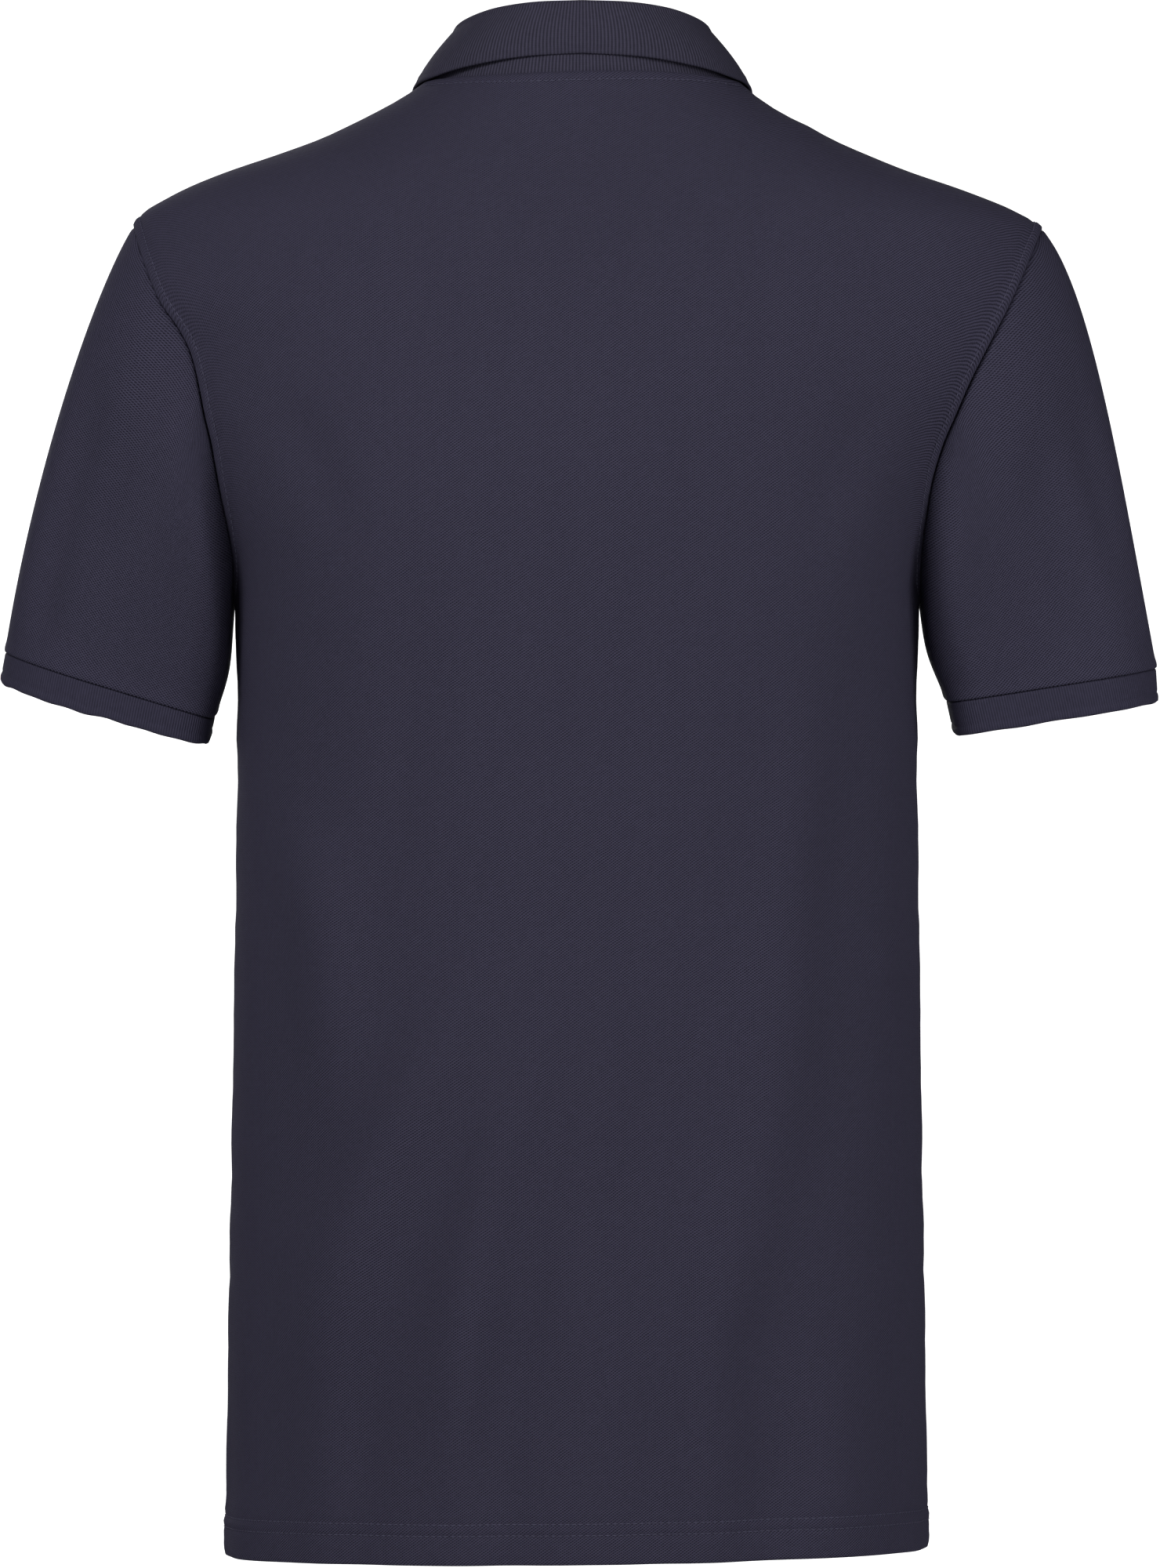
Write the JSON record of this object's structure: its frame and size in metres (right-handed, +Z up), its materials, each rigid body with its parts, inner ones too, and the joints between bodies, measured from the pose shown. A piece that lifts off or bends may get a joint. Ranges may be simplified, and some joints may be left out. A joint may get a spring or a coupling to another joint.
{
  "type": "polo shirt",
  "caption": "Short-sleeved polo shirt in pique knit, filled out as if worn, with a turned-down rib collar, a buttoned placket, set-in sleeves with rib bands and a straight hem.",
  "frame": {"origin": "midway between the points where the shoulder seams meet the collar, where a wearer's shoulders hold the shirt up", "axes": "+Z up the body towards the collar, -Y out of the front, +X towards the wearer's left sleeve"},
  "size_m": [0.5768, 0.2695, 0.7684],
  "materials": {
    "pique": "matt navy cotton pique knit",
    "rib": "matt navy flat-knitted cotton rib",
    "button": "satin navy plastic"
  },
  "bodies": {
    "root": {"back": "pique", "front": "pique", "sleeve_left": "pique", "sleeve_right": "pique", "cuff_left": "rib", "cuff_right": "rib", "collar": "rib", "placket_top": "pique", "placket_under": "pique", "button_1": "button", "button_2": "button", "button_3": "button"}
  },
  "joints": []
}
